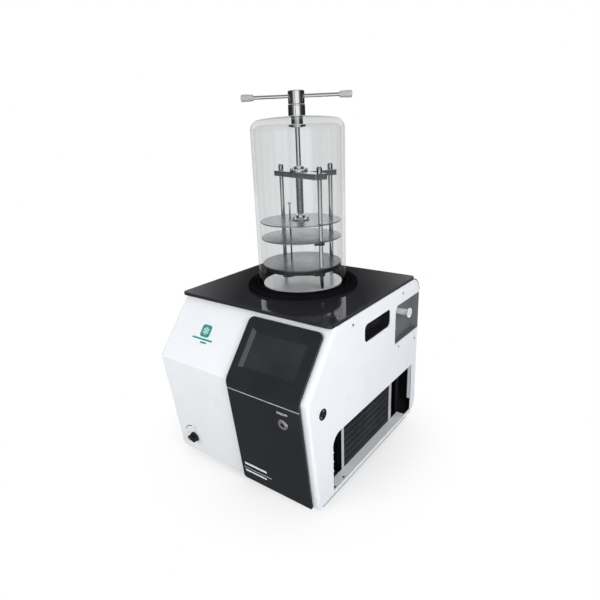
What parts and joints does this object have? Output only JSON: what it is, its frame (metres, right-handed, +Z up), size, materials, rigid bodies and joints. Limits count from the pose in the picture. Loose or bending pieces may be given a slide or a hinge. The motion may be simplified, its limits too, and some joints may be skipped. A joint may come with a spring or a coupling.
{
  "type": "bench-top freeze dryer",
  "caption": "Bench-top freeze dryer: white cabinet with a cold trap and control panel, and a clear chamber with shelves and a hand-turned stoppering press.",
  "frame": {"origin": "on the floor under the middle of the cabinet's width and depth", "axes": "+Z up; the front with the control panel faces -Y; the pump port leaves along +X"},
  "size_m": [0.564, 0.6306, 1.0455],
  "materials": {
    "white_enamel": "satin powder coat",
    "black_deck": "satin black",
    "panel_grey": "satin dark grey",
    "screen": "smooth glass-like",
    "steel": "polished",
    "chrome": "mirror",
    "frame_steel": "galvanised",
    "black_plastic": "matte",
    "grey_paint": "satin grey",
    "ivory": "smooth",
    "black_rubber": "matte",
    "clear_acrylic": "clear",
    "brass": "machined",
    "copper": "drawn tube",
    "fin_aluminium": "coated",
    "foam": "foamed",
    "clear_hose": "clear"
  },
  "bodies": {
    "cabinet": {"base_tray": "white_enamel", "rubber_feet": "black_rubber", "chassis_frame": "frame_steel", "front_shell": "white_enamel", "side_cover_left": "white_enamel", "side_cover_right": "white_enamel", "rear_cover": "white_enamel", "top_plate": "black_deck", "cover_screws": "steel", "hand_cups": "black_plastic", "port_pocket": "grey_paint", "pump_port": "steel", "round_socket": "black_plastic", "control_panel": "panel_grey", "touch_screen": "screen", "trim_strip": "steel", "button_bezel": "chrome", "drain_valve": "brass", "drain_pipe": "clear_hose", "drain_spout": "black_plastic", "mains_inlet": "black_plastic", "control_box": "frame_steel", "condenser_ends": "steel", "condenser_fins": "fin_aluminium", "condenser_tubes": "copper", "fan_shroud": "frame_steel", "fan_motor": "black_plastic", "compressor": "black_plastic", "compressor_mounts": "black_rubber", "refrigerant_lines": "copper", "filter_drier": "copper", "trap_vessel": "steel", "evaporator_coil": "copper", "trap_insulation": "foam", "vacuum_pipe": "steel", "trap_disc": "steel", "chamber_seal": "black_rubber", "clear_bell": "clear_acrylic", "gland_body": "chrome", "gland_nut": "chrome", "gland_seals": "black_rubber", "bridge": "steel", "bridge_nut": "steel", "press_posts": "steel", "dome_nuts": "chrome", "upper_shelf": "steel", "lower_shelf": "steel", "shelf_heater": "black_plastic", "shelf_clamps": "black_plastic", "thumb_screws": "black_plastic", "product_probe": "steel"},
    "press": {"press_plate": "steel", "swivel_hub": "steel"},
    "screw": {"press_screw": "steel", "handle_hub": "chrome", "handle_rod": "steel", "handle_grips": "ivory"},
    "knob": {"drain_knob": "black_plastic"},
    "button": {"power_button": "chrome"},
    "fan": {"fan_blades": "grey_paint"}
  },
  "joints": [
    {"name": "press_lift", "type": "slide", "parent": "cabinet", "child": "press", "axis": [0, 0, 1], "range_m": [0, 0.1]},
    {"name": "handle_turn", "type": "hinge", "parent": "press", "child": "screw", "pos_m": [0, 0.045, 0.9], "axis": [0, 0, 1], "range_deg": [0, 7200]},
    {"name": "drain_turn", "type": "hinge", "parent": "cabinet", "child": "knob", "pos_m": [-0.192, -0.2786, 0.07182], "axis": [0, -0.9933, -0.1154], "range_deg": [0, 90]},
    {"name": "button_press", "type": "slide", "parent": "cabinet", "child": "button", "axis": [0, 0.9933, 0.1154], "range_m": [0, 0.003], "stiffness_N_per_m": 600, "springref_m": -0.001},
    {"name": "fan_spin", "type": "hinge", "parent": "cabinet", "child": "fan", "pos_m": [0.165, 0.037, 0.112], "axis": [1, 0, 0], "continuous": true}
  ],
  "couplings": [
    {"joint": "press_lift", "follows": "handle_turn", "m_per_rad": 0.00079577}
  ]
}
